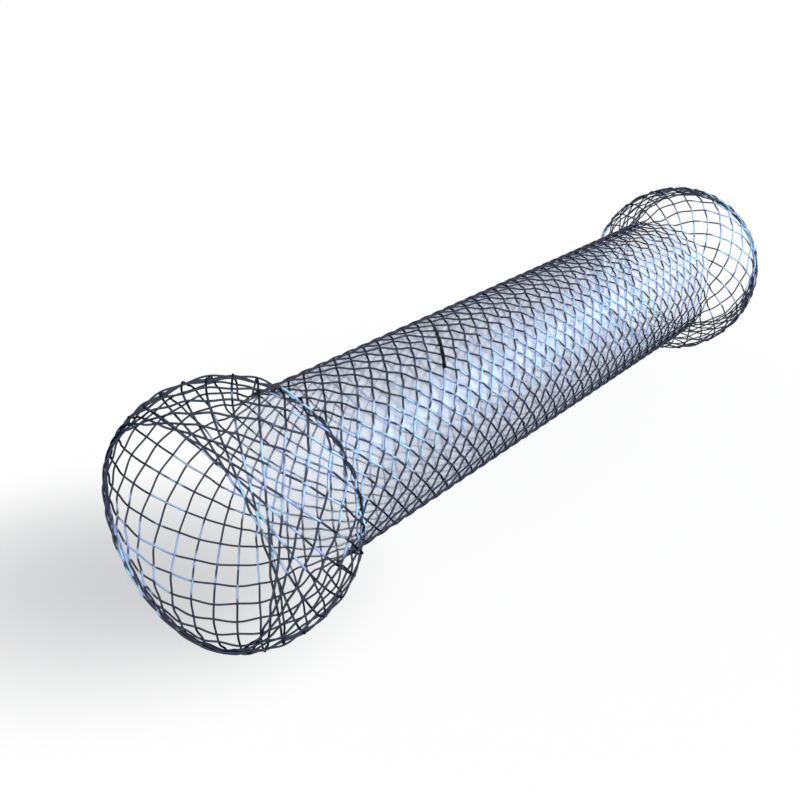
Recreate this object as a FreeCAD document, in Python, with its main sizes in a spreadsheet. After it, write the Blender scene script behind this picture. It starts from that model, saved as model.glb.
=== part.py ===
import FreeCAD, Part
import Sketcher
import bisect
import math
import os

# Covered oesophageal stent, lying on its two flared ends.
# One wire is woven by hand into a tube: it runs from one mouth to the other, turns round in a
# crown and comes back the other way, until it has filled all the crowns and its two ends meet
# in a small sleeve. A thin film lines the tube between the necks of its flares.
# X runs along the stent, Z is up, and the origin lies on the floor under its middle.

SIZES = (
    ("overall_length", 106.0, "from mouth to mouth, over the crowns"),
    ("body_diameter", 18.0, "over the wires of the tube"),
    ("flare_diameter", 25.2, "over the wires where a flare is widest"),
    ("mouth_diameter", 21.3, "over the wires at a mouth"),
    ("flare_length", 12.4, "from a mouth to its neck"),
    ("widest_from_mouth", 5.5, "from a mouth to where its flare is widest"),
    ("wire_diameter", 0.2, "of the round wire that the square one stands for"),
    ("weave_gap", 0.06, "between the two layers of strands, where they cross"),
    ("crown_count", 24, "crowns round each mouth"),
    ("crossing_rows", 101, "rows of crossings from mouth to mouth, prime to the crowns"),
    ("crown_rows", 9.0, "rows over which the strands steepen to the full weave"),
    ("crown_slope", 0.15, "share of the full progress per row that a crown starts with"),
    ("steepening", 1.5, "power of the row that the rest of the progress per row grows with"),
    ("first_bend_row", 0.35, "row of the bend on each side of a crown's tip"),
    ("rim_run_rows", 2, "rows per straight run of a strand near the mouth"),
    ("shoulder_runs", 3, "straight runs of a strand from the widest row to the neck"),
    ("body_runs", 16, "straight runs of a strand from neck to neck"),
    ("cover_thickness", 0.12, "of the film"),
    ("cover_gap", 0.03, "between the film and the wire where they come closest"),
    ("sleeve_length", 8.0, "along the wire"),
    ("sleeve_from_middle", 19.4, "from the stent's middle to the sleeve's, along X"),
    ("sleeve_angle", 105.0, "of the sleeve's middle round the tube, from Y towards Z"),
    ("sleeve_wall", 0.12, "of the sleeve"),
    ("sleeve_gap", 0.03, "between the sleeve and the wire in it"),
    ("sleeve_lift", 0.07, "from the wire's inner face out to the sleeve's open side"),
)

doc = FreeCAD.newDocument("stent")


def make_sheet():
    """Write the driving dimensions to a sheet, each with its alias and what it measures."""
    page = doc.addObject("Spreadsheet::Sheet", "sizes")
    for number, (alias, value, note) in enumerate(SIZES, start=1):
        write_size(page, number, alias, value, note)
    doc.recompute()
    return page


def write_size(page, number, alias, value, note):
    """Write one dimension to a row of the sheet."""
    page.set("A%d" % number, alias)
    page.set("B%d" % number, str(value))
    page.set("C%d" % number, note)
    page.setAlias("B%d" % number, alias)


sheet = make_sheet()


def size(alias):
    """Return one driving dimension from the sheet."""
    return float(sheet.get(alias))


def count(alias):
    """Return one driving count from the sheet."""
    return int(round(size(alias)))


# The wire's square section has the area of the round one. Two layers of it make the wall, and
# the weave's middle surface runs between them.
WIRE_SIDE = size("wire_diameter") * math.sqrt(math.pi) / 2.0
LAYER_OFFSET = (WIRE_SIDE + size("weave_gap")) / 2.0
WALL_OUT = LAYER_OFFSET + WIRE_SIDE / 2.0

BODY_RADIUS = size("body_diameter") / 2.0 - WALL_OUT
BULGE = size("flare_diameter") / 2.0 - WALL_OUT - BODY_RADIUS
MOUTH_RISE = (size("mouth_diameter") - size("body_diameter")) / 2.0 / BULGE
MOUTH_TURN = math.asin(MOUTH_RISE)
RIM_REACH = size("widest_from_mouth") / math.cos(MOUTH_TURN)

# The wall leans outwards at a mouth, so the outer layer's edge stands out past the middle
# surface's.
MOUTH_LEAN = math.atan2(BULGE * math.cos(MOUTH_TURN), RIM_REACH * math.sin(MOUTH_TURN))
MOUTH_EDGE = WALL_OUT * math.sin(MOUTH_LEAN) + WIRE_SIDE / 2.0 * math.cos(MOUTH_LEAN)
HALF_LENGTH = size("overall_length") / 2.0 - MOUTH_EDGE

LAST_ROW = count("crossing_rows")
CROWNS = count("crown_count")
CROWN_STEP = 360.0 / CROWNS
ROW_STEP = CROWN_STEP / 2.0
PROFILE_STEPS = 400
HALVINGS = 50


def half_meridian():
    """Return (distance from the mouth, radius) pairs of the middle surface, mouth to middle.

    The rim and the shoulder are two arcs of ellipses that meet where the flare is widest, each
    in fine steps that are even in angle.
    """
    widest = size("widest_from_mouth")
    shoulder_reach = size("flare_length") - widest
    pairs = []
    for step in range(PROFILE_STEPS + 1):
        turn = MOUTH_TURN + (math.pi / 2.0 - MOUTH_TURN) * step / PROFILE_STEPS
        along = widest - RIM_REACH * math.cos(turn)
        pairs.append((along, BODY_RADIUS + BULGE * math.sin(turn)))
    for step in range(1, PROFILE_STEPS + 1):
        turn = math.pi / 2.0 * step / PROFILE_STEPS
        along = widest + shoulder_reach * math.sin(turn)
        pairs.append((along, BODY_RADIUS + BULGE * math.cos(turn)))
    pairs.append((HALF_LENGTH, BODY_RADIUS))
    return pairs


def progress_along(pairs):
    """Return, for each pair, the meridian's length so far, counted in local radii."""
    sums = [0.0]
    for before, after in zip(pairs, pairs[1:]):
        run = math.dist(before, after)
        sums.append(sums[-1] + run / ((before[1] + after[1]) / 2.0))
    return sums


MERIDIAN = half_meridian()
PROGRESS = progress_along(MERIDIAN)

# A strand keeps its slope to the axis when its progress per row is constant. Near a crown the
# progress per row starts small, which lays the crown's tip along the rim, and then grows.
OPENING = size("crown_rows")
START_SHARE = size("crown_slope")
RISE_POWER = size("steepening") + 1.0


def full_rows(rows):
    """Return how many rows of the full weave make the progress of the first rows."""
    opened = min(rows, OPENING)
    growth = OPENING * (opened / OPENING) ** RISE_POWER / RISE_POWER
    return START_SHARE * opened + (1.0 - START_SHARE) * growth + rows - opened


# A crown is straight between its first two bends, and this tip lies on the mouth's edge.
TIP_ROWS = full_rows(size("first_bend_row"))
PACE = PROGRESS[-1] / (full_rows(LAST_ROW / 2.0) - TIP_ROWS)


def row_progress(row):
    """Return the progress from the nearer mouth to a row of crossings."""
    return PACE * (full_rows(min(row, LAST_ROW - row)) - TIP_ROWS)


def row_at(from_mouth):
    """Return the row that a strand has reached at a distance from the mouth."""
    place = max(1, bisect.bisect_left([along for along, _ in MERIDIAN], from_mouth))
    before, after = MERIDIAN[place - 1], MERIDIAN[place]
    share = (from_mouth - before[0]) / (after[0] - before[0])
    progress = PROGRESS[place - 1] + (PROGRESS[place] - PROGRESS[place - 1]) * share
    low, high = 0.0, LAST_ROW / 2.0
    for _ in range(HALVINGS):
        middle = (low + high) / 2.0
        if row_progress(middle) < progress:
            low = middle
        else:
            high = middle
    return (low + high) / 2.0


def row_station(row):
    """Return the X position and radius of the middle surface at a row."""
    progress = min(row_progress(row), PROGRESS[-1])
    place = max(1, bisect.bisect_left(PROGRESS, progress))
    share = (progress - PROGRESS[place - 1]) / (PROGRESS[place] - PROGRESS[place - 1])
    before, after = MERIDIAN[place - 1], MERIDIAN[place]
    along = before[0] + (after[0] - before[0]) * share
    radius = before[1] + (after[1] - before[1]) * share
    side = -1.0 if row < LAST_ROW / 2.0 else 1.0
    return side * (HALF_LENGTH - along), radius


def even_steps(start, end, runs):
    """Return the ends of equal runs from start to end, without the start."""
    return [start + (end - start) * step / runs for step in range(1, runs + 1)]


# The widest bend lies halfway between two rows, which brings the lowest bends of both flares
# to the same angle.
WIDEST_ROW = math.floor(row_at(size("widest_from_mouth"))) + 0.5
NECK_ROW = row_at(size("flare_length"))


def bend_rows():
    """Return the rows at which every strand bends, from mouth to mouth.

    Near a mouth the strands cross at a small angle, so they bend where they cross.
    """
    step = count("rim_run_rows")
    flare = [size("first_bend_row")]
    flare += [float(row) for row in range(step, int(WIDEST_ROW) - step // 2, step)]
    flare.append(WIDEST_ROW)
    flare += even_steps(WIDEST_ROW, NECK_ROW, count("shoulder_runs"))
    body = even_steps(NECK_ROW, LAST_ROW - NECK_ROW, count("body_runs"))[:-1]
    return flare + body + [LAST_ROW - row for row in reversed(flare)]


BEND_ROWS = bend_rows()
BEND_STATIONS = [row_station(row) for row in BEND_ROWS]

# The bottom of each flare lies midway between two bends of the outer layer.
DOWN = -90.0
START_ANGLE = DOWN + ROW_STEP + ROW_STEP * WIDEST_ROW


def run_normals():
    """Return the outward normal, as (X, radial), of each run between two bends."""
    normals = []
    for before, after in zip(BEND_STATIONS, BEND_STATIONS[1:]):
        run = math.dist(before, after)
        normals.append(((before[1] - after[1]) / run, (after[0] - before[0]) / run))
    return normals


def bend_offsets():
    """Return, for each bend, the (X, radial) offset that holds its runs one unit off."""
    normals = run_normals()
    pairs = zip(normals[:1] + normals, normals + normals[-1:])
    offsets = []
    for first, second in pairs:
        spread = 1.0 + first[0] * second[0] + first[1] * second[1]
        offsets.append(((first[0] + second[0]) / spread, (first[1] + second[1]) / spread))
    return offsets


BEND_OFFSETS = bend_offsets()


def around(along, radial, angle):
    """Return the vector with an X part and a radial part at an angle round the axis."""
    turn = math.radians(angle)
    return FreeCAD.Vector(along, radial * math.cos(turn), radial * math.sin(turn))


def strand_bends(number, direction):
    """Return (point, outward direction) at each bend of a strand, in the order of the rows.

    Strands that turn forwards (direction 1) are the inner layer, the others the outer one.
    """
    bends = []
    for row, station, offset in zip(BEND_ROWS, BEND_STATIONS, BEND_OFFSETS):
        angle = START_ANGLE + number * CROWN_STEP + direction * row * ROW_STEP
        outward = around(offset[0], offset[1], angle)
        point = around(station[0], station[1], angle) - outward * (direction * LAYER_OFFSET)
        bends.append((point, outward))
    return bends


def wire_loops():
    """Return the bends of the endless wire, or of each one if the strands make several."""
    loops = []
    left = set(range(CROWNS))
    while left:
        number = min(left)
        bends = []
        while number in left:
            left.remove(number)
            bends += strand_bends(number, 1)
            number = (number + LAST_ROW) % CROWNS
            bends += reversed(strand_bends(number, -1))
        loops.append(bends)
    return loops


def section_ring(before, bend, after, outline):
    """Return a section's corners at a bend, mitred between the runs before and after it.

    outline lists (across, outward) offsets from the wire's middle.
    """
    arriving = (bend[0] - before[0]).normalize()
    leaving = (after[0] - bend[0]).normalize()
    middle = arriving + leaving
    stretch = 2.0 / middle.Length - 1.0
    middle.normalize()
    turning = leaving - arriving
    if turning.Length > 0.0:
        turning.normalize()
    outward = bend[1] - middle * bend[1].dot(middle)
    outward.normalize()
    across = middle.cross(outward)
    corners = []
    for sideways, up in outline:
        corner = across * sideways + outward * up
        corners.append(bend[0] + corner + turning * (corner.dot(turning) * stretch))
    return corners


def middle_of(points):
    """Return the mean of some points."""
    total = FreeCAD.Vector()
    for point in points:
        total += point
    return total / len(points)


def skin_faces(first, second):
    """Return the flat triangles that join two rings of corners.

    Each strip between two corners is folded along the diagonal that is closer to the middle, so
    that a twisted run keeps clear of what lies beside it.
    """
    middle = middle_of(first + second)
    faces = []
    for place in range(len(first)):
        other = (place + 1) % len(first)
        strip = [first[place], first[other], second[other], second[place]]
        folds = [middle_of(strip[0::2]), middle_of(strip[1::2])]
        if (folds[1] - middle).Length < (folds[0] - middle).Length:
            strip = strip[1:] + strip[:1]
        for corners in (strip[:3], strip[2:] + strip[:1]):
            faces.append(Part.Face(Part.makePolygon(corners + corners[:1])))
    return faces


def solid_of(faces):
    """Return the solid inside a closed set of faces."""
    shell = Part.makeShell(faces)
    shell.sewShape()
    solid = Part.makeSolid(shell.Shells[0])
    if solid.Volume < 0.0:
        solid.reverse()
    return solid


HALF_SIDE = WIRE_SIDE / 2.0
WIRE_OUTLINE = (
    (-HALF_SIDE, -HALF_SIDE),
    (-HALF_SIDE, HALF_SIDE),
    (HALF_SIDE, HALF_SIDE),
    (HALF_SIDE, -HALF_SIDE),
)


def loop_rings(bends):
    """Return the corners of the wire's section at each bend of a closed loop."""
    rings = []
    for place, bend in enumerate(bends):
        after = bends[(place + 1) % len(bends)]
        rings.append(section_ring(bends[place - 1], bend, after, WIRE_OUTLINE))
    return rings


WIRE_RINGS = [loop_rings(bends) for bends in wire_loops()]

# The stent is drawn about its own axis, then lifted until its lowest corner is on the floor.
AXIS_HEIGHT = -min(corner.z for rings in WIRE_RINGS for ring in rings for corner in ring)


def lift(item):
    """Place a sub-part's own axis at the stent's axis above the floor."""
    item.Placement = FreeCAD.Placement(FreeCAD.Vector(0.0, 0.0, AXIS_HEIGHT), FreeCAD.Rotation())


def add_shape(label, shape):
    """Add a sub-part that holds a shape."""
    item = doc.addObject("Part::Feature", label)
    item.Label = label
    item.Shape = shape
    lift(item)
    return item


def make_woven_wire():
    """Make the endless wire: one closed loop for all strands and crowns."""
    solids = []
    for rings in WIRE_RINGS:
        faces = []
        for place, ring in enumerate(rings):
            faces += skin_faces(ring, rings[(place + 1) % len(rings)])
        solids.append(solid_of(faces))
    shape = solids[0] if len(solids) == 1 else Part.makeCompound(solids)
    return add_shape("woven_wire", shape)


def axis_distance(start, end):
    """Return how close the straight line between two points comes to the X axis."""
    run_y, run_z = end.y - start.y, end.z - start.z
    square = run_y ** 2 + run_z ** 2
    share = 0.0
    if square > 0.0:
        share = -(start.y * run_y + start.z * run_z) / square
    share = min(1.0, max(0.0, share))
    return math.hypot(start.y + run_y * share, start.z + run_z * share)


def wire_clearance():
    """Return the radius of the free way inside the wire."""
    closest = BODY_RADIUS
    for rings in WIRE_RINGS:
        for place, ring in enumerate(rings):
            after = rings[(place + 1) % len(rings)]
            for start, end in zip(ring + ring, after + after[1:] + after[:1]):
                closest = min(closest, axis_distance(start, end))
    return closest


def make_body_cover():
    """Make the film that lines the tube from neck to neck."""
    write_size(sheet, len(SIZES) + 1, "cover_radius", wire_clearance() - size("cover_gap"),
               "outside of the film, which the wire's closest corner leaves free")
    write_size(sheet, len(SIZES) + 2, "neck_reach", HALF_LENGTH - size("flare_length"),
               "from the stent's middle to a neck")
    doc.recompute()
    body = doc.addObject("PartDesign::Body", "body_cover")
    body.Label = "body_cover"
    plane = [item for item in body.Origin.OriginFeatures if item.Role == "XY_Plane"][0]
    sketch = body.newObject("Sketcher::SketchObject", "cover_profile")
    sketch.AttachmentSupport = (plane, "")
    sketch.MapMode = "FlatFace"
    draw_cover_profile(sketch)
    doc.recompute()
    turned = body.newObject("PartDesign::Revolution", "cover_wall")
    turned.Profile = sketch
    turned.ReferenceAxis = (sketch, ["H_Axis"])
    turned.Angle = 360.0
    lift(body)
    doc.recompute()
    return body


def draw_cover_profile(sketch):
    """Draw the film's wall, cut along the axis, as a rectangle bound to the sheet."""
    reach = size("neck_reach")
    outer = size("cover_radius")
    inner = outer - size("cover_thickness")
    corners = ((-reach, inner), (reach, inner), (reach, outer), (-reach, outer))
    points = [FreeCAD.Vector(along, radius, 0.0) for along, radius in corners]
    for place, point in enumerate(points):
        sketch.addGeometry(Part.LineSegment(point, points[(place + 1) % len(points)]), False)
    for place in range(len(points)):
        link = Sketcher.Constraint("Coincident", place, 2, (place + 1) % len(points), 1)
        sketch.addConstraint(link)
    sketch.addConstraint(Sketcher.Constraint("Horizontal", 0))
    sketch.addConstraint(Sketcher.Constraint("Horizontal", 2))
    sketch.addConstraint(Sketcher.Constraint("Vertical", 1))
    sketch.addConstraint(Sketcher.Constraint("Vertical", 3))
    bound = (
        (Sketcher.Constraint("DistanceX", -1, 1, 1, 1, reach), "sizes.neck_reach"),
        (Sketcher.Constraint("DistanceX", 0, 1, 0, 2, 2.0 * reach), "sizes.neck_reach * 2"),
        (Sketcher.Constraint("DistanceY", -1, 1, 1, 2, outer), "sizes.cover_radius"),
        (Sketcher.Constraint("DistanceY", 1, 1, 1, 2, outer - inner), "sizes.cover_thickness"),
    )
    for constraint, formula in bound:
        number = sketch.addConstraint(constraint)
        sketch.setExpression("Constraints[%d]" % number, formula)


def sleeve_outline():
    """Return the sleeve's section, a channel closed outwards, about the wire's middle.

    Its open side faces the inner layer, whose strands pass close under the wire.
    """
    inner = HALF_SIDE + size("sleeve_gap")
    outer = inner + size("sleeve_wall")
    foot = size("sleeve_lift") - HALF_SIDE
    return (
        (-outer, foot),
        (-outer, outer),
        (outer, outer),
        (outer, foot),
        (inner, foot),
        (inner, inner),
        (-inner, inner),
        (-inner, foot),
    )


def sleeve_strand():
    """Return the bends of the outer strand that passes closest to the sleeve's middle."""
    row = row_at(HALF_LENGTH - size("sleeve_from_middle"))
    angle = START_ANGLE - row * ROW_STEP
    number = round((size("sleeve_angle") - angle) / CROWN_STEP)
    return strand_bends(number, -1)


def sleeve_places(bends):
    """Return where along the strand the sleeve has its ends and bends, counted in bends."""
    middle = -size("sleeve_from_middle")
    before = max(place for place, bend in enumerate(bends) if bend[0].x < middle)
    run = bends[before + 1][0] - bends[before][0]
    centre = before + (middle - bends[before][0].x) / run.x
    half = size("sleeve_length") / 2.0 / run.Length
    between = range(math.floor(centre - half) + 1, math.ceil(centre + half))
    return [centre - half] + [float(place) for place in between] + [centre + half]


def ring_at(bends, place, outline):
    """Return a section's corners at a place along a strand, counted in bends."""
    before = math.floor(place)
    first = section_ring(*bends[before - 1:before + 2], outline)
    second = section_ring(*bends[before:before + 3], outline)
    share = place - before
    return [start + (end - start) * share for start, end in zip(first, second)]


def make_splice_sleeve():
    """Make the sleeve that joins the wire's two ends, along its strand's bends."""
    bends = sleeve_strand()
    outline = sleeve_outline()
    rings = [ring_at(bends, place, outline) for place in sleeve_places(bends)]
    faces = []
    for first, second in zip(rings, rings[1:]):
        faces += skin_faces(first, second)
    for ring in (rings[0], rings[-1]):
        faces.append(Part.Face(Part.makePolygon(ring + ring[:1])))
    return add_shape("splice_sleeve", solid_of(faces))


def check_and_write(items):
    """Check every object and sub-part, then write each sub-part's file."""
    doc.recompute()
    for item in doc.Objects:
        if "Invalid" in item.State or "Error" in item.State:
            raise ValueError("%s did not build" % item.Name)
    os.makedirs("parts", exist_ok=True)
    for item in items:
        if item.Shape.isNull() or not item.Shape.isValid():
            raise ValueError("%s has no valid shape" % item.Label)
        item.Shape.exportStep("parts/%s.step" % item.Label)


check_and_write([make_woven_wire(), make_body_cover(), make_splice_sleeve()])
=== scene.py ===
"""Looks of a covered esophageal stent that lies on its two flared ends.

The stent is one fine wire, woven by hand into a tube with a crowned, flared mouth at each end.
A thin clear film joins the wires of the tube between its two necks, and a small crimped sleeve
holds the wire's two ends together. X runs along the stent and Z is up.
"""

import logging
import math
from dataclasses import dataclass, field
from enum import Enum

import bmesh
import bpy
import numpy as np
from mathutils import Matrix, Vector


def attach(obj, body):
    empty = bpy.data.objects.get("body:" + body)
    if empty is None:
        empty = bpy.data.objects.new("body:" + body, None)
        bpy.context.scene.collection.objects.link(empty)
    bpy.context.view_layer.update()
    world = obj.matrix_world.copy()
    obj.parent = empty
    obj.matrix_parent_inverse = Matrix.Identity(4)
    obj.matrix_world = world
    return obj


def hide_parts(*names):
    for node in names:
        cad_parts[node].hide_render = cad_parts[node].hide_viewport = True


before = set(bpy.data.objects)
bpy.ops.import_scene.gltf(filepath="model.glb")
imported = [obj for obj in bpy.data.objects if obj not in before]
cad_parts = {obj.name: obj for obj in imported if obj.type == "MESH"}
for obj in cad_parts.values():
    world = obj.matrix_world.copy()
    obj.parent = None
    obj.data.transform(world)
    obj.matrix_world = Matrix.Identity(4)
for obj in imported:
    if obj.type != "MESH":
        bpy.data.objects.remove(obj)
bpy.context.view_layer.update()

MM = 0.001
LOG = logging.getLogger("stent")


def srgb(colour: str) -> tuple[float, float, float, float]:
    """Turn an sRGB hex colour to a linear one with full alpha.

    Args:
        colour: Six hex digits after a hash, such as "#1c2536".

    Returns:
        Linear red, green, blue and an alpha of one.
    """
    channels = []
    for place in (1, 3, 5):
        value = int(colour[place:place + 2], 16) / 255.0
        channels.append(value / 12.92 if value <= 0.04045 else ((value + 0.055) / 1.055) ** 2.4)
    return (channels[0], channels[1], channels[2], 1.0)


def add_node(
    tree: bpy.types.NodeTree, kind: str, inputs: dict | None = None, **settings: object
) -> bpy.types.Node:
    """Add a node to a tree with its settings, its inputs' values and its links.

    Args:
        tree: The node tree that gets the node.
        kind: The node's type name without its leading "ShaderNode".
        inputs: What each input gets, by name or number: another node's output or a value.
        settings: The node's own properties, such as a blend type.

    Returns:
        The new node.
    """
    node = tree.nodes.new("ShaderNode" + kind)
    for name, value in settings.items():
        setattr(node, name, value)
    for name, value in (inputs or {}).items():
        if isinstance(value, bpy.types.NodeSocket):
            tree.links.new(value, node.inputs[name])
        else:
            node.inputs[name].default_value = value
    return node


def new_material(name: str) -> tuple[bpy.types.Material, bpy.types.NodeTree]:
    """Make a material with an empty node tree.

    Args:
        name: The material's name.

    Returns:
        The material and its node tree.
    """
    material = bpy.data.materials.new(name)
    material.use_nodes = True
    material.node_tree.nodes.clear()
    return material, material.node_tree


def put_mesh(name: str, mesh: bpy.types.Mesh) -> bpy.types.Object:
    """Add a mesh to the scene as an object at the origin.

    Args:
        name: The object's name.
        mesh: Its mesh, with its place in its points.

    Returns:
        The new object.
    """
    piece = bpy.data.objects.new(name, mesh)
    bpy.context.scene.collection.objects.link(piece)
    return piece


def sweep(curve: bpy.types.Curve) -> bpy.types.Mesh:
    """Turn a bevelled curve to a closed mesh.

    Args:
        curve: The curve, whose splines are open.

    Returns:
        The mesh, ring by ring along the splines, with a face at each end.
    """
    bent = bpy.data.objects.new(curve.name, curve)
    mesh = bpy.data.meshes.new_from_object(bent)
    bpy.data.objects.remove(bent)
    mesh.name = curve.name
    shape = bmesh.new()
    shape.from_mesh(mesh)
    rims = [edge for edge in shape.edges if edge.is_boundary]
    bmesh.ops.holes_fill(shape, edges=rims, sides=0)
    shape.to_mesh(mesh)
    shape.free()
    return mesh


@dataclass(frozen=True)
class WallForm:
    """The woven wall's middle surface, with the solid part's sizes in millimetres."""

    overall_length: float = 106.0
    body_diameter: float = 18.0
    flare_diameter: float = 25.0
    mouth_diameter: float = 21.3
    flare_length: float = 12.4
    widest_from_mouth: float = 5.5
    wire_diameter: float = 0.2
    crossing_gap: float = 0.01
    neck_bend: float = 0.35
    crowns: int = 24
    rows: int = 101
    crown_rows: float = 9.0
    crown_slope: float = 0.15
    steepening: float = 1.5
    tip_rows: float = 0.35
    start_angle: float = -18.75
    axis_height: float = 12.502
    meridian: dict = field(init=False, repr=False)

    def __post_init__(self) -> None:
        """Work out the meridian once."""
        object.__setattr__(self, "meridian", self.make_meridian())

    @property
    def layer(self) -> float:
        """How far a crossing wire's middle lies from the wall's middle surface."""
        return (self.wire_diameter + self.crossing_gap) / 2.0

    @property
    def body_radius(self) -> float:
        """Radius of the tube's middle surface."""
        return self.body_diameter / 2.0 - self.layer - self.wire_diameter / 2.0

    @property
    def half_length(self) -> float:
        """Distance from the stent's middle to a crown's tip, at the middle of the wire."""
        return self.overall_length / 2.0 - self.wire_diameter

    @property
    def row_angle(self) -> float:
        """Turn round the axis, in degrees, from one row of crossings to the next."""
        return 180.0 / self.crowns

    def make_meridian(self) -> dict[str, np.ndarray]:
        """Work out the middle surface's meridian from a mouth to the stent's middle.

        The rim and the shoulder are two elliptic arcs that meet where the flare is widest. The
        corner at the neck is rounded to the bend that a stiff wire makes there.

        Returns:
            Distance from the mouth, radius, outward normal and progress, point by point.
        """
        bulge = self.flare_diameter / 2.0 - self.layer - self.wire_diameter / 2.0 - self.body_radius
        rise = (self.mouth_diameter - self.body_diameter) / 2.0 / bulge
        start = math.asin(rise)
        reach = self.widest_from_mouth / math.cos(start)
        rim = np.linspace(start, math.pi / 2.0, 400)
        shoulder = np.linspace(0.0, math.pi / 2.0, 400)[1:]
        depth = self.flare_length - self.widest_from_mouth
        along = np.concatenate((
            self.widest_from_mouth - reach * np.cos(rim),
            self.widest_from_mouth + depth * np.sin(shoulder),
            np.linspace(self.flare_length, self.half_length + 2.0, 400)[1:],
        ))
        radius = np.concatenate((
            self.body_radius + bulge * np.sin(rim),
            self.body_radius + bulge * np.cos(shoulder),
            np.full(399, self.body_radius),
        ))
        along, radius = self.soften(along, radius)
        run = np.hypot(np.diff(along), np.diff(radius))
        progress = np.concatenate(([0.0], np.cumsum(2.0 * run / (radius[1:] + radius[:-1]))))
        slope_x, slope_r = np.gradient(along), np.gradient(radius)
        length = np.hypot(slope_x, slope_r)
        return {
            "along": along,
            "radius": radius,
            "normal_x": -slope_r / length,
            "normal_r": slope_x / length,
            "progress": progress,
        }

    def soften(self, along: np.ndarray, radius: np.ndarray) -> tuple[np.ndarray, np.ndarray]:
        """Space the meridian's points evenly and round its corner at the neck.

        Args:
            along: Distances from the mouth.
            radius: Radii.

        Returns:
            The same two, even in length and rounded.
        """
        length = np.concatenate(([0.0], np.cumsum(np.hypot(np.diff(along), np.diff(radius)))))
        spacing = 0.02
        even = np.arange(0.0, length[-1], spacing)
        spread = int(4.0 * self.neck_bend / spacing)
        kernel = np.exp(-0.5 * (np.arange(-spread, spread + 1) * spacing / self.neck_bend) ** 2)
        kernel /= kernel.sum()
        smooth = []
        for values in (np.interp(even, length, along), np.interp(even, length, radius)):
            before = 2.0 * values[0] - values[spread:0:-1]
            after = 2.0 * values[-1] - values[-2:-spread - 2:-1]
            smooth.append(np.convolve(np.concatenate((before, values, after)), kernel, "valid"))
        return smooth[0], smooth[1]

    def full_rows(self, rows: np.ndarray) -> np.ndarray:
        """Return how many rows of the full weave make the progress of the first rows.

        A strand starts nearly along the rim and steepens row by row. Its first stretch is
        rounded into the tip of its crown.

        Args:
            rows: Rows from the nearer mouth.

        Returns:
            The matching rows of the full weave.
        """
        rows = np.asarray(rows, dtype=float)
        opened = np.minimum(rows, self.crown_rows)
        power = self.steepening + 1.0
        growth = self.crown_rows * (opened / self.crown_rows) ** power / power
        total = self.crown_slope * opened + (1.0 - self.crown_slope) * growth + rows - opened
        rounding = self.crown_slope * self.tip_rows / 2.0
        tip = rounding * (rows / self.tip_rows) ** 2
        return np.where(rows < self.tip_rows, tip, total - rounding)

    @property
    def pace(self) -> float:
        """Progress per row where the weave is fully open."""
        middle = np.interp(self.half_length, self.meridian["along"], self.meridian["progress"])
        return float(middle) / float(self.full_rows(self.rows / 2.0))

    def row_at(self, from_mouth: float) -> float:
        """Return the row that a strand reaches at a distance from the mouth.

        Args:
            from_mouth: Distance along the axis from the nearer mouth.

        Returns:
            The row, which need not be whole.
        """
        progress = float(np.interp(from_mouth, self.meridian["along"], self.meridian["progress"]))
        rows = np.linspace(0.0, self.rows / 2.0, 20001)
        return float(np.interp(progress, self.pace * self.full_rows(rows), rows))

    @property
    def neck_row(self) -> float:
        """Row of crossings at the neck."""
        return self.row_at(self.flare_length)

    def points(self, rows: np.ndarray, angles: np.ndarray, offsets: np.ndarray) -> np.ndarray:
        """Return points of the wall in metres.

        Args:
            rows: Row of each point, counted from the low-X mouth.
            angles: Angle round the axis in degrees, from Y towards Z.
            offsets: Distance outwards from the middle surface in millimetres.

        Returns:
            One point a row, as X, Y and Z.
        """
        progress = self.pace * self.full_rows(np.minimum(rows, self.rows - rows))
        read = {key: np.interp(progress, self.meridian["progress"], values)
                for key, values in self.meridian.items() if key != "progress"}
        side = np.where(rows < self.rows / 2.0, -1.0, 1.0)
        along = side * (self.half_length - read["along"] - offsets * read["normal_x"])
        radius = read["radius"] + offsets * read["normal_r"]
        turn = np.radians(angles)
        height = self.axis_height + radius * np.sin(turn)
        return np.stack((along, radius * np.cos(turn), height), axis=1) * MM


class Turn(Enum):
    """Which way a strand winds as it goes from the low-X mouth to the other."""

    FORWARD = 1
    BACKWARD = -1


@dataclass(frozen=True)
class SpliceSite:
    """Where the wire's two ends meet: a stretch of one strand, with its sleeve."""

    strand: int = 1
    from_middle: float = 19.4
    length: float = 8.0
    diameter: float = 0.4

    def rows(self, form: WallForm) -> tuple[float, float]:
        """Return the first and last row of the sleeve.

        Args:
            form: The woven wall.

        Returns:
            Both rows, counted from the low-X mouth.
        """
        half = self.length / 2.0 * math.cos(math.radians(45.0))
        middle = form.half_length - self.from_middle
        return form.row_at(middle - half), form.row_at(middle + half)


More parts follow.
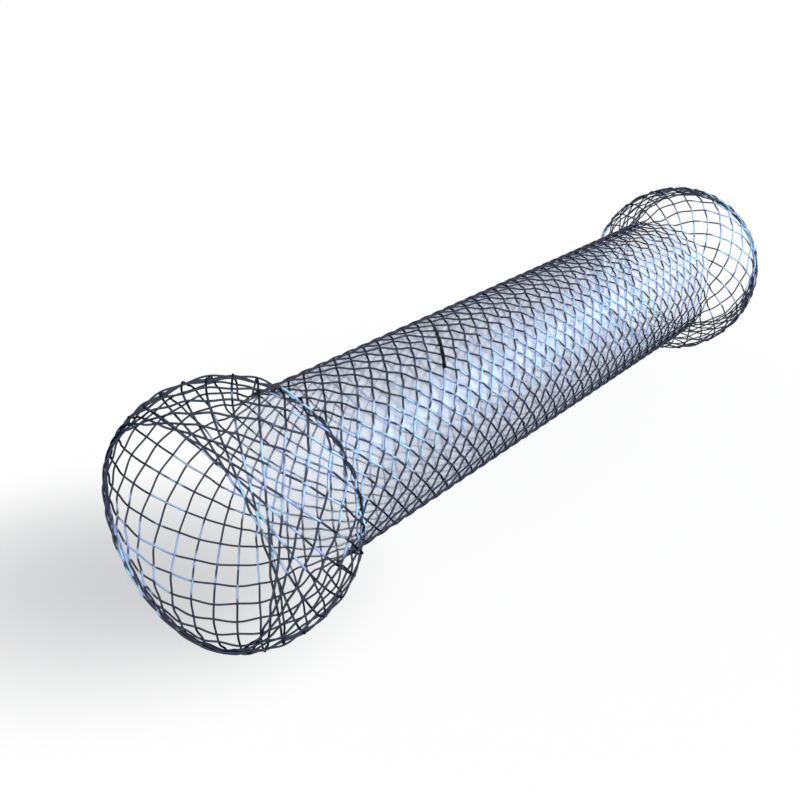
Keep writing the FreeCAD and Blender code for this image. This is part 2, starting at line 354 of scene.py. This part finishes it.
@dataclass
class WovenWire:
    """The endless wire: strands that pass over and under each other, and their crowns."""

    form: WallForm
    site: SpliceSite
    # Rows at each mouth without over and under, and the share of the first row that a crown's
    # turn takes.
    plain_rows: int = 3
    turn_rows: float = 0.6
    # How far a hand-laid strand wanders, in degrees, over how many rows, and how soon it starts.
    sway: float = 0.55
    sway_periods: tuple[float, float, float] = (9.0, 17.0, 31.0)
    sway_from: float = 5.0
    seed: int = 7
    flare_steps: int = 10
    body_steps: int = 4
    # Where the painted highlight lies: the side that it faces at the stent's middle, that side's
    # turn per metre, how far off square a strand may run at the start and at the far mouth, and how
    # soft it ends. The side lies halfway between the ways to a lamp and to the view.
    highlight_side: tuple[float, float, float] = (-0.045, -0.82, 0.565)
    highlight_turn: float = -3.4
    highlight_reach: tuple[float, float] = (0.2, 0.4)
    highlight_from: float = -0.02
    highlight_blend: float = 0.07
    # The painted highlight keeps to the flank that faces that side, and each stretch's chance slope
    # shifts which stretches get it.
    flank_from: float = 0.5
    flank_blend: float = 0.7
    slope_seed: int = 1000
    slope_spread: float = 0.08

    def over(self, turn: Turn, number: int, rows: np.ndarray) -> np.ndarray:
        """Return how far out a strand lies, from -1 in the inner layer to 1 in the outer one.

        Near the mouths the crossings are long and shallow, so each strand keeps its layer.

        Args:
            turn: Which way the strand winds.
            number: The strand's number round the mouth.
            rows: Rows of the points.

        Returns:
            One value per row.
        """
        last = self.form.rows
        weave = np.cos(np.pi * rows)
        first = -np.sin(np.pi / 2.0 * np.minimum(1.0, rows / self.turn_rows))
        final = np.sin(np.pi / 2.0 * np.minimum(1.0, (last - rows) / self.turn_rows))
        weave = np.where(rows < self.plain_rows, first, weave)
        weave = np.where(rows > last - self.plain_rows, final, weave)
        start, end = self.site.rows(self.form)
        if turn is Turn.BACKWARD:
            weave = -weave
            if number == self.site.strand:
                lift = self.odd_span(start, end)
                weave = np.where((rows > lift[0]) & (rows < lift[1]), 1.0, weave)
        else:
            for crossing in range(int(start), int(end) + 2):
                if (crossing + number - self.site.strand) % self.form.crowns == 0:
                    weave = np.where(np.abs(rows - crossing) < 1.0, -1.0, weave)
        return weave

    @staticmethod
    def odd_span(start: float, end: float) -> tuple[int, int]:
        """Return the odd rows just outside a stretch, where a backward strand lies outside.

        Args:
            start: The stretch's first row.
            end: Its last row.

        Returns:
            Both odd rows.
        """
        low = math.floor(start)
        high = math.ceil(end)
        return (low - 1 + low % 2, high + 1 - high % 2)

    def drift(self, turn: Turn, number: int, rows: np.ndarray) -> np.ndarray:
        """Return the small wandering of a hand-laid strand, in degrees round the axis.

        Args:
            turn: Which way the strand winds.
            number: The strand's number.
            rows: Rows of the points.

        Returns:
            One angle per row, nothing at the crowns.
        """
        random = np.random.default_rng(self.seed + 2 * number + (turn is Turn.BACKWARD))
        phases = random.uniform(0.0, 2.0 * np.pi, 3)
        shares = random.uniform(0.4, 1.0, 3)
        total = np.zeros_like(rows)
        for phase, share, period in zip(phases, shares, self.sway_periods):
            total += share * np.sin(2.0 * np.pi * rows / period + phase)
        edge = np.minimum(rows, self.form.rows - rows)
        return self.sway / 2.0 * total * np.clip(edge / self.sway_from, 0.0, 1.0) ** 2

    def strand(self, turn: Turn, number: int, rows: np.ndarray) -> np.ndarray:
        """Return the middle line of part of a strand.

        Args:
            turn: Which way the strand winds.
            number: The strand's number at the low-X mouth.
            rows: Rows of the points.

        Returns:
            X, Y and Z in metres per row, and the chance slope of the stretch that it lies in, which
            moves only the painted highlight.
        """
        form = self.form
        wound = number * 2.0 + turn.value * rows
        angles = form.start_angle + form.row_angle * wound + self.drift(turn, number, rows)
        points = form.points(rows, angles, form.layer * self.over(turn, number, rows))
        seed = self.slope_seed + self.seed + 2 * number + (turn is Turn.BACKWARD)
        random = np.random.default_rng(seed)
        slopes = random.normal(0.0, self.slope_spread, form.rows + 1)
        return np.column_stack((points, slopes[np.floor(rows).astype(int)]))

    def painted_highlight_share(self, line: np.ndarray, skin: np.ndarray) -> np.ndarray:
        """Return the share of painted highlight on the skin of a wire, from 0 to 1.

        The painted highlight lies on the stretches that run square to one direction, on the flank
        that faces it, where a lamp's glint would be. The direction turns a little along the stent,
        and more of each strand gets the painted highlight towards the high-X mouth.

        Args:
            line: The wire's middle line, with each point's chance slope.
            skin: The points of its skin, as many per point of the line.

        Returns:
            One value per point of the skin.
        """
        middle = line[:, :3]
        along = np.gradient(middle, axis=0)
        along /= np.linalg.norm(along, axis=1)[:, None]
        side = np.array(self.highlight_side) + np.outer(middle[:, 0] * self.highlight_turn, (1.0, 0.0, 0.0))
        lean = np.abs(np.sum(along * side, axis=1) + line[:, 3])
        ends = (self.highlight_from, self.form.half_length * MM)
        reach = np.interp(middle[:, 0], ends, self.highlight_reach)
        square = np.clip((reach - lean) / self.highlight_blend, 0.0, 1.0)
        around = skin.reshape(len(line), -1, 3) - middle[:, None]
        around /= np.linalg.norm(around, axis=2)[..., None]
        toward = np.sum(around * side[:, None], axis=2)
        facing = np.clip((toward + self.flank_from) / self.flank_blend, 0.0, 1.0)
        return (square[:, None] * facing).ravel()

    def near_flare(self) -> list[np.ndarray]:
        """Return the middle lines of the flare at the low-X mouth, neck to crown to neck."""
        rows = self.flare_rows()
        lines = []
        for number in range(self.form.crowns):
            back = self.strand(Turn.BACKWARD, number, rows)
            out = self.strand(Turn.FORWARD, number, rows)
            lines.append(np.concatenate((back[::-1], out[1:])))
        return lines

    def far_flare(self) -> list[np.ndarray]:
        """Return the middle lines of the flare at the high-X mouth, neck to crown to neck."""
        form = self.form
        rows = form.rows - self.flare_rows()
        lines = []
        for number in range(form.crowns):
            out = self.strand(Turn.FORWARD, number, rows)
            back = self.strand(Turn.BACKWARD, (number + form.rows) % form.crowns, rows)
            lines.append(np.concatenate((out[::-1], back[1:])))
        return lines

    def flare_rows(self) -> np.ndarray:
        """Return the rows of a flare's points, from the crown's tip to the neck."""
        neck = self.form.neck_row
        return np.linspace(0.0, neck, int(neck * self.flare_steps) + 1)

    def body(self, turn: Turn) -> list[np.ndarray]:
        """Return the middle lines of one set of the tube's strands, from neck to neck.

        Args:
            turn: Which way the set winds.

        Returns:
            One line per strand.
        """
        form = self.form
        neck = form.neck_row
        steps = int((form.rows - 2.0 * neck) * self.body_steps)
        rows = np.linspace(neck, form.rows - neck, steps + 1)
        return [self.strand(turn, number, rows) for number in range(form.crowns)]

    def make_piece(self, name: str, lines: list[np.ndarray]) -> bpy.types.Object:
        """Make a set of round wires from their middle lines.

        Args:
            name: The piece's name.
            lines: Middle lines in metres.

        Returns:
            The piece, a closed mesh.
        """
        curve = bpy.data.curves.new(name, "CURVE")
        curve.dimensions = "3D"
        curve.bevel_depth = self.form.wire_diameter / 2.0 * MM
        curve.bevel_resolution = 2
        for line in lines:
            spline = curve.splines.new("POLY")
            spline.points.add(len(line) - 1)
            ones = np.ones((len(line), 1))
            spline.points.foreach_set("co", np.hstack((line[:, :3], ones)).ravel())
        mesh = sweep(curve)
        self.store_painted_highlight(mesh, lines)
        return put_mesh(name, mesh)

    def store_painted_highlight(self, mesh: bpy.types.Mesh, lines: list[np.ndarray]) -> None:
        """Store the share of painted highlight at each point of a piece.

        Args:
            mesh: The piece's mesh, ring by ring along its lines.
            lines: Its middle lines.
        """
        skin = np.empty(len(mesh.vertices) * 3)
        mesh.vertices.foreach_get("co", skin)
        skin = skin.reshape(-1, 3)
        sides = len(skin) // sum(len(line) for line in lines)
        values = []
        start = 0
        for line in lines:
            end = start + sides * len(line)
            values.append(self.painted_highlight_share(line, skin[start:end]))
            start = end
        # This attribute holds the share of painted highlight.
        layer = mesh.attributes.new("painted_highlight", "FLOAT", "POINT")
        layer.data.foreach_set("value", np.concatenate(values))

    def build(self, finish: "OxideWireWithPaintedHighlight") -> list[bpy.types.Object]:
        """Make and dress the wire's four pieces in place of its solid.

        Args:
            finish: The wire's finish.

        Returns:
            The two flares and the two sets of strands of the tube between them.
        """
        pieces = [
            self.make_piece("near_flare_wire", self.near_flare()),
            self.make_piece("forward_tube_wire", self.body(Turn.FORWARD)),
            self.make_piece("backward_tube_wire", self.body(Turn.BACKWARD)),
            self.make_piece("far_flare_wire", self.far_flare()),
        ]
        material = finish.make()
        for piece in pieces:
            piece.data.materials.append(material)
            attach(piece, "root")
            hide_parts("woven_wire")
        return pieces


@dataclass
class SpliceSleeve:
    """The small crimped sleeve that joins the wire's two ends."""

    weave: WovenWire
    rise: float = 0.1
    rings: int = 81
    crimps: int = 4
    crimp_depth: float = 0.16
    least_end: float = 0.2

    def build(self, finish: "CrimpedSleeve") -> bpy.types.Object:
        """Make and dress the sleeve along its strand.

        Args:
            finish: The sleeve's finish.

        Returns:
            The sleeve.
        """
        site, form = self.weave.site, self.weave.form
        rows = np.linspace(*site.rows(form), self.rings)
        angles = form.start_angle + form.row_angle * (2.0 * site.strand - rows)
        angles += self.weave.drift(Turn.BACKWARD, site.strand, rows)
        line = form.points(rows, angles, np.full(self.rings, form.layer + self.rise))
        share = np.linspace(0.0, 1.0, self.rings)
        end = np.minimum(share, 1.0 - share) * site.length / site.diameter * 2.0
        short = 1.0 - np.clip(end * 2.0, 0.0, 1.0)
        round_end = np.sqrt(np.clip(1.0 - short ** 2, self.least_end, 1.0))
        pinch = np.clip(np.cos(2.0 * np.pi * self.crimps * share + np.pi), 0.0, 1.0) ** 2
        curve = bpy.data.curves.new("splice_sleeve_tube", "CURVE")
        curve.dimensions = "3D"
        curve.bevel_depth = site.diameter / 2.0 * MM
        curve.bevel_resolution = 6
        spline = curve.splines.new("POLY")
        spline.points.add(self.rings - 1)
        spline.points.foreach_set("co", np.hstack((line, np.ones((self.rings, 1)))).ravel())
        spline.points.foreach_set("radius", round_end * (1.0 - self.crimp_depth * pinch))
        piece = put_mesh("splice_sleeve_tube", sweep(curve))
        piece.data.materials.append(finish.make())
        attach(piece, "root")
        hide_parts("splice_sleeve")
        return piece


@dataclass
class CoverFilm:
    """The thin film between the wires of the tube, from neck to neck."""

    form: WallForm
    sides_per_cell: int = 7
    rings_per_row: float = 3.0
    inset: float = 0.1
    dip: float = 0.1
    thickness: float = 0.04
    feathered_rows: float = 5.0
    fullness: float = 0.8

    def build(self, finish: "ClearFilm") -> bpy.types.Object:
        """Make and dress the film in place of its solid.

        Args:
            finish: The film's finish.

        Returns:
            The film, a thin closed wall.
        """
        form = self.form
        neck = form.neck_row
        sides = form.crowns * self.sides_per_cell
        rings = int((form.rows - 2.0 * neck) * self.rings_per_row)
        shape = bmesh.new()
        bmesh.ops.create_cone(
            shape, segments=sides, radius1=1.0, radius2=1.0, depth=1.0, cap_ends=False,
        )
        upright = [edge for edge in shape.edges
                   if abs(edge.verts[0].co.z - edge.verts[1].co.z) > 0.5]
        bmesh.ops.subdivide_edges(shape, edges=upright, cuts=rings - 1, use_grid_fill=True)
        shape.verts.ensure_lookup_table()
        flat = np.array([vert.co for vert in shape.verts])
        rows = neck + (flat[:, 2] + 0.5) * (form.rows - 2.0 * neck)
        angles = np.degrees(np.arctan2(flat[:, 1], flat[:, 0]))
        cell = self.cell(rows, angles)
        places = form.points(rows, angles, -self.inset - self.dip * cell)
        from_edge = np.minimum(rows - neck, form.rows - neck - rows)
        ends = np.clip(from_edge / self.feathered_rows, 0.0, 1.0)
        cell_layer = shape.verts.layers.float.new("cell")
        body_layer = shape.verts.layers.float.new("body")
        for vert, place, value, share in zip(shape.verts, places, cell, ends):
            vert.co = place
            vert[cell_layer] = value
            vert[body_layer] = share
        bmesh.ops.recalc_face_normals(shape, faces=shape.faces)
        mesh = bpy.data.meshes.new("cover_film")
        shape.to_mesh(mesh)
        shape.free()
        mesh.shade_smooth()
        piece = put_mesh("cover_film", mesh)
        piece.data.materials.append(finish.make())
        wall = piece.modifiers.new("wall", "SOLIDIFY")
        wall.thickness = self.thickness * MM
        wall.offset = -1.0
        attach(piece, "root")
        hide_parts("body_cover")
        return piece

    def cell(self, rows: np.ndarray, angles: np.ndarray) -> np.ndarray:
        """Return how far a point is from the wires: 0 on a wire, 1 in the middle of a cell.

        Args:
            rows: Rows of the points.
            angles: Their angles in degrees.

        Returns:
            One value per point.
        """
        wound = (angles - self.form.start_angle) / self.form.row_angle
        forward = np.abs(np.sin(np.pi * (wound - rows) / 2.0))
        backward = np.abs(np.sin(np.pi * (wound + rows) / 2.0))
        return (forward * backward) ** self.fullness


@dataclass(frozen=True)
class OxideWireWithPaintedHighlight:
    """Nickel-titanium wire, drawn and heat-set, with the blue-black oxide of its heat-setting and a
    painted light blue highlight.
    """

    slate: str = "#4c535d"
    violet: str = "#4b5165"
    # sky and lilac are the colours of the painted highlight.
    sky: str = "#b4e6ff"
    lilac: str = "#b4c2f6"
    roughness: float = 0.33
    mottle_mm: float = 2.5
    mottle_span: tuple[float, float] = (0.4, 0.6)

    def make(self) -> bpy.types.Material:
        """Make the finish.

        Returns:
            A dark metal with painted light blue highlights on some stretches, each of them a little
            uneven in hue.
        """
        # Drawing leaves the wire smooth, so it shines softly along its flank. The oxide's depth
        # varies with the heat, so it looks slate to violet. The light blue is a painted highlight,
        # the glint of a lamp painted into the colour of some stretches.
        material, tree = new_material("oxide_wire_painted_highlight")
        place = add_node(tree, "TexCoord").outputs["Object"]
        mottle = add_node(tree, "TexNoise", {
            "Vector": place, "Scale": 1.0 / (self.mottle_mm * MM), "Detail": 2.0,
        })
        hue = add_node(tree, "MapRange", {
            "Value": mottle.outputs["Fac"],
            "From Min": self.mottle_span[0], "From Max": self.mottle_span[1],
        }).outputs[0]
        dark = add_node(tree, "MixRGB", {0: hue, 1: srgb(self.slate), 2: srgb(self.violet)})
        light = add_node(tree, "MixRGB", {0: hue, 1: srgb(self.sky), 2: srgb(self.lilac)})
        # Painted highlight: the light blue is mixed in by the stored highlight share.
        painted_highlight = add_node(tree, "Attribute", attribute_name="painted_highlight").outputs["Fac"]
        tint = add_node(tree, "MixRGB", {0: painted_highlight, 1: dark.outputs[0], 2: light.outputs[0]})
        surface = add_node(tree, "BsdfPrincipled", {
            "Base Color": tint.outputs[0], "Metallic": 1.0, "Roughness": self.roughness,
            "Specular Tint": srgb(self.slate),
        })
        add_node(tree, "OutputMaterial", {"Surface": surface.outputs[0]})
        return material


@dataclass(frozen=True)
class CrimpedSleeve:
    """Stainless tube, darkened by heat and squeezed with a crimping tool."""

    colour: str = "#14171c"
    roughness: float = 0.5
    grain_mm: float = 1.0 / 6.0
    grain_depth_mm: float = 0.02
    grain_strength: float = 0.3

    def make(self) -> bpy.types.Material:
        """Make the finish.

        Returns:
            A dark, slightly rough metal.
        """
        # Heat and the tool's jaws leave a dull, almost black skin. The jaws' marks are a few
        # hundredths of a millimetre apart and are drawn coarser, so that they show.
        material, tree = new_material("crimped_sleeve")
        place = add_node(tree, "TexCoord").outputs["Object"]
        grain = add_node(tree, "TexNoise", {
            "Vector": place, "Scale": 1.0 / (self.grain_mm * MM), "Detail": 2.0,
        })
        bump = add_node(tree, "Bump", {
            "Height": grain.outputs["Fac"], "Strength": self.grain_strength,
            "Distance": self.grain_depth_mm * MM,
        })
        surface = add_node(tree, "BsdfPrincipled", {
            "Base Color": srgb(self.colour), "Metallic": 1.0, "Roughness": self.roughness,
            "Normal": bump.outputs[0],
        })
        add_node(tree, "OutputMaterial", {"Surface": surface.outputs[0]})
        return material


@dataclass(frozen=True)
class ClearFilm:
    """Silicone film, dip-coated: clear, faintly blue, thicker where it climbs the wires."""

    thin: str = "#eef3ff"
    thick: str = "#dae5fc"
    clear: float = 0.28
    dense: float = 0.36
    roughness: float = 0.34
    index: float = 1.41
    gloss: float = 0.8
    let_through: float = 0.5

    def make(self) -> bpy.types.Material:
        """Make the finish.

        Returns:
            A see-through gloss film with a tint that deepens beside the wires.
        """
        # Dipping leaves a skin that sags between the wires and climbs them, so it looks milky
        # with a broad soft shine, and a little deeper in tint round each cell's edge.
        material, tree = new_material("clear_film")
        cell = add_node(tree, "Attribute", attribute_name="cell").outputs["Fac"]
        body = add_node(tree, "Attribute", attribute_name="body").outputs["Fac"]
        tint = add_node(tree, "MixRGB", {0: cell, 1: srgb(self.thick), 2: srgb(self.thin)})
        cover = add_node(tree, "MapRange", {
            "Value": cell, "To Min": self.dense, "To Max": self.clear,
        })
        alpha = add_node(tree, "Math", {0: cover.outputs[0], 1: body}, operation="MULTIPLY")
        surface = add_node(tree, "BsdfPrincipled", {
            "Base Color": tint.outputs[0], "Roughness": self.roughness, "IOR": self.index,
            "Specular IOR Level": self.gloss, "Transmission Weight": self.let_through,
            "Alpha": alpha.outputs[0],
        })
        add_node(tree, "OutputMaterial", {"Surface": surface.outputs[0]})
        return material


@dataclass(frozen=True)
class Studio:
    """The whitish floor with a patch of painted shade, the white world, the soft lamp and the
    camera.
    """

    axis_height: float = 12.502
    camera_mm: tuple[float, float, float] = (-99.83, -59.68, 46.14)
    forward: tuple[float, float, float] = (0.7219, 0.5579, -0.4095)
    right: tuple[float, float, float] = (0.6115, -0.7912, 0.0)
    field_of_view: float = 43.0
    sensor_mm: float = 36.0
    # The lamp's direction from the stent, as shares to the right, ahead and up.
    lamp_way: tuple[float, float, float] = (0.911, 0.231, 0.34)
    lamp_distance: float = 0.4
    lamp_size: float = 0.14
    lamp_power: float = 0.5
    lamp_colour: str = "#9cc6ff"
    fill: float = 0.88
    # The soft grey patch of painted shade on the floor, where the stent's shadow falls, and the
    # share of glow that the floor keeps round the stent.
    floor_size: float = 3.0
    shade_mm: tuple[float, float] = (-43.0, -28.5)
    shade_reach_mm: tuple[float, float] = (33.0, 26.5)
    shade_tone: str = "#c9cacc"
    shade_depth: float = 0.35
    nearby_mm: tuple[float, float] = (90.0, 90.0)
    nearby_glow: float = 0.93

    def build(self) -> None:
        """Set up the floor, the world, the lamp and the camera."""
        self.lay_floor()
        self.light_world()
        self.hang_lamp()
        self.place_camera()

    def seen(self, tree: bpy.types.NodeTree) -> bpy.types.NodeSocket:
        """Return a mask that is one for rays that show the background.

        Args:
            tree: The node tree that asks.

        Returns:
            One for camera, glossy and transmission rays, and nothing for light.
        """
        path = add_node(tree, "LightPath").outputs
        either = add_node(tree, "Math", {
            0: path["Is Camera Ray"], 1: path["Is Glossy Ray"],
        }, operation="MAXIMUM")
        return add_node(tree, "Math", {
            0: either.outputs[0], 1: path["Is Transmission Ray"],
        }, operation="MAXIMUM").outputs[0]

    def round_patch(
        self,
        tree: bpy.types.NodeTree,
        place: bpy.types.NodeSocket,
        centre_mm: tuple[float, float],
        reach_mm: tuple[float, float],
    ) -> bpy.types.NodeSocket:
        """Return a soft oval mask on the floor, one at its centre and nothing at its edge.

        Args:
            tree: The floor's node tree.
            place: The floor's Object coordinates.
            centre_mm: The oval's centre, as distances to the right and ahead of the middle.
            reach_mm: Its half widths in the same two directions.

        Returns:
            The mask.
        """
        turned = add_node(tree, "Mapping", {
            "Vector": place, "Rotation": (0.0, 0.0, -math.atan2(self.right[1], self.right[0])),
        })
        moved = add_node(tree, "Mapping", {
            "Vector": turned.outputs[0],
            "Location": (-centre_mm[0] / reach_mm[0], -centre_mm[1] / reach_mm[1], 0.0),
            "Scale": (1000.0 / reach_mm[0], 1000.0 / reach_mm[1], 1.0),
        })
        fall = add_node(tree, "TexGradient", {
            "Vector": moved.outputs[0],
        }, gradient_type="SPHERICAL")
        return add_node(tree, "MapRange", {
            "Value": fall.outputs["Fac"],
        }, interpolation_type="SMOOTHSTEP").outputs[0]

    def lay_floor(self) -> None:
        """Lay a plain whitish floor that keeps the stent's shadow, with a soft grey patch of
        painted shade.
        """
        shape = bmesh.new()
        bmesh.ops.create_grid(shape, x_segments=1, y_segments=1, size=self.floor_size)
        mesh = bpy.data.meshes.new("floor")
        shape.to_mesh(mesh)
        shape.free()
        floor = put_mesh("floor", mesh)
        material, tree = new_material("pale_floor")
        place = add_node(tree, "TexCoord").outputs["Object"]
        # Painted shade: the floor's glow turns grey in a soft oval where the stent's shadow falls.
        shade = self.round_patch(tree, place, self.shade_mm, self.shade_reach_mm)
        nearby = self.round_patch(tree, place, (0.0, 0.0), self.nearby_mm)
        tone = add_node(tree, "MixRGB", {
            0: shade, 1: srgb("#ffffff"), 2: srgb(self.shade_tone),
        })
        open_floor = add_node(tree, "MapRange", {
            "Value": nearby, "To Min": 1.0, "To Max": self.nearby_glow,
        })
        shaded = add_node(tree, "Math", {0: shade, 1: self.shade_depth}, operation="MULTIPLY")
        shown = add_node(tree, "Math", {
            0: open_floor.outputs[0], 1: shaded.outputs[0],
        }, operation="SUBTRACT")
        share = add_node(tree, "Math", {
            0: self.seen(tree), 1: shown.outputs[0],
        }, operation="MULTIPLY")
        matt = add_node(tree, "BsdfDiffuse", {"Color": srgb("#f4f4f4")})
        glow = add_node(tree, "Emission", {"Color": tone.outputs[0], "Strength": 1.0})
        surface = add_node(tree, "MixShader", {
            0: share.outputs[0], 1: matt.outputs[0], 2: glow.outputs[0],
        })
        add_node(tree, "OutputMaterial", {"Surface": surface.outputs[0]})
        floor.data.materials.append(material)

    def light_world(self) -> None:
        """Make the world white to the eye and a soft fill to the object."""
        world = bpy.data.worlds.new("studio")
        bpy.context.scene.world = world
        world.use_nodes = True
        tree = world.node_tree
        tree.nodes.clear()
        strength = add_node(tree, "MapRange", {
            "Value": self.seen(tree), "To Min": self.fill, "To Max": 1.0,
        })
        sky = add_node(tree, "Background", {
            "Color": srgb("#ffffff"), "Strength": strength.outputs[0],
        })
        add_node(tree, "OutputWorld", {"Surface": sky.outputs[0]})

    def hang_lamp(self) -> None:
        """Hang the lamp low on the right of the view."""
        ahead = Vector((self.forward[0], self.forward[1], 0.0)).normalized()
        aside = Vector(self.right)
        up = Vector((0.0, 0.0, 1.0))
        middle = Vector((0.0, 0.0, self.axis_height * MM))
        shares = self.lamp_way
        place = (aside * shares[0] + ahead * shares[1] + up * shares[2]) * self.lamp_distance
        lamp = bpy.data.lights.new("key_lamp", "AREA")
        lamp.shape = "DISK"
        lamp.size = self.lamp_size
        lamp.energy = self.lamp_power
        lamp.color = srgb(self.lamp_colour)[:3]
        hung = bpy.data.objects.new("key_lamp", lamp)
        hung.location = middle + place
        hung.rotation_euler = place.to_track_quat("Z", "Y").to_euler()
        bpy.context.scene.collection.objects.link(hung)

    def place_camera(self) -> None:
        """Place the camera at the photograph's viewing angle."""
        lens = bpy.data.cameras.new("camera")
        lens.sensor_width = self.sensor_mm
        lens.angle = math.radians(self.field_of_view)
        lens.clip_start = 0.001
        camera = bpy.data.objects.new("camera", lens)
        ahead = Vector(self.forward).normalized()
        aside = Vector(self.right).normalized()
        upward = aside.cross(ahead)
        turn = Matrix((aside, upward, -ahead)).transposed().to_4x4()
        height = Vector((0.0, 0.0, self.axis_height))
        turn.translation = (Vector(self.camera_mm) + height) * MM
        camera.matrix_world = turn
        bpy.context.scene.collection.objects.link(camera)
        bpy.context.scene.camera = camera


def main() -> None:
    """Build the stent's pieces, dress them and set up the studio."""
    logging.basicConfig(level=logging.INFO)
    form = WallForm()
    weave = WovenWire(form, SpliceSite())
    for piece in weave.build(OxideWireWithPaintedHighlight()):
        LOG.info("%s: %d faces", piece.name, len(piece.data.polygons))
    film = CoverFilm(form).build(ClearFilm())
    LOG.info("%s: %d faces", film.name, len(film.data.polygons))
    sleeve = SpliceSleeve(weave).build(CrimpedSleeve())
    LOG.info("%s: %d faces", sleeve.name, len(sleeve.data.polygons))
    Studio().build()
    bpy.context.scene.view_settings.view_transform = "Standard"


if __name__ == "__main__":
    main()
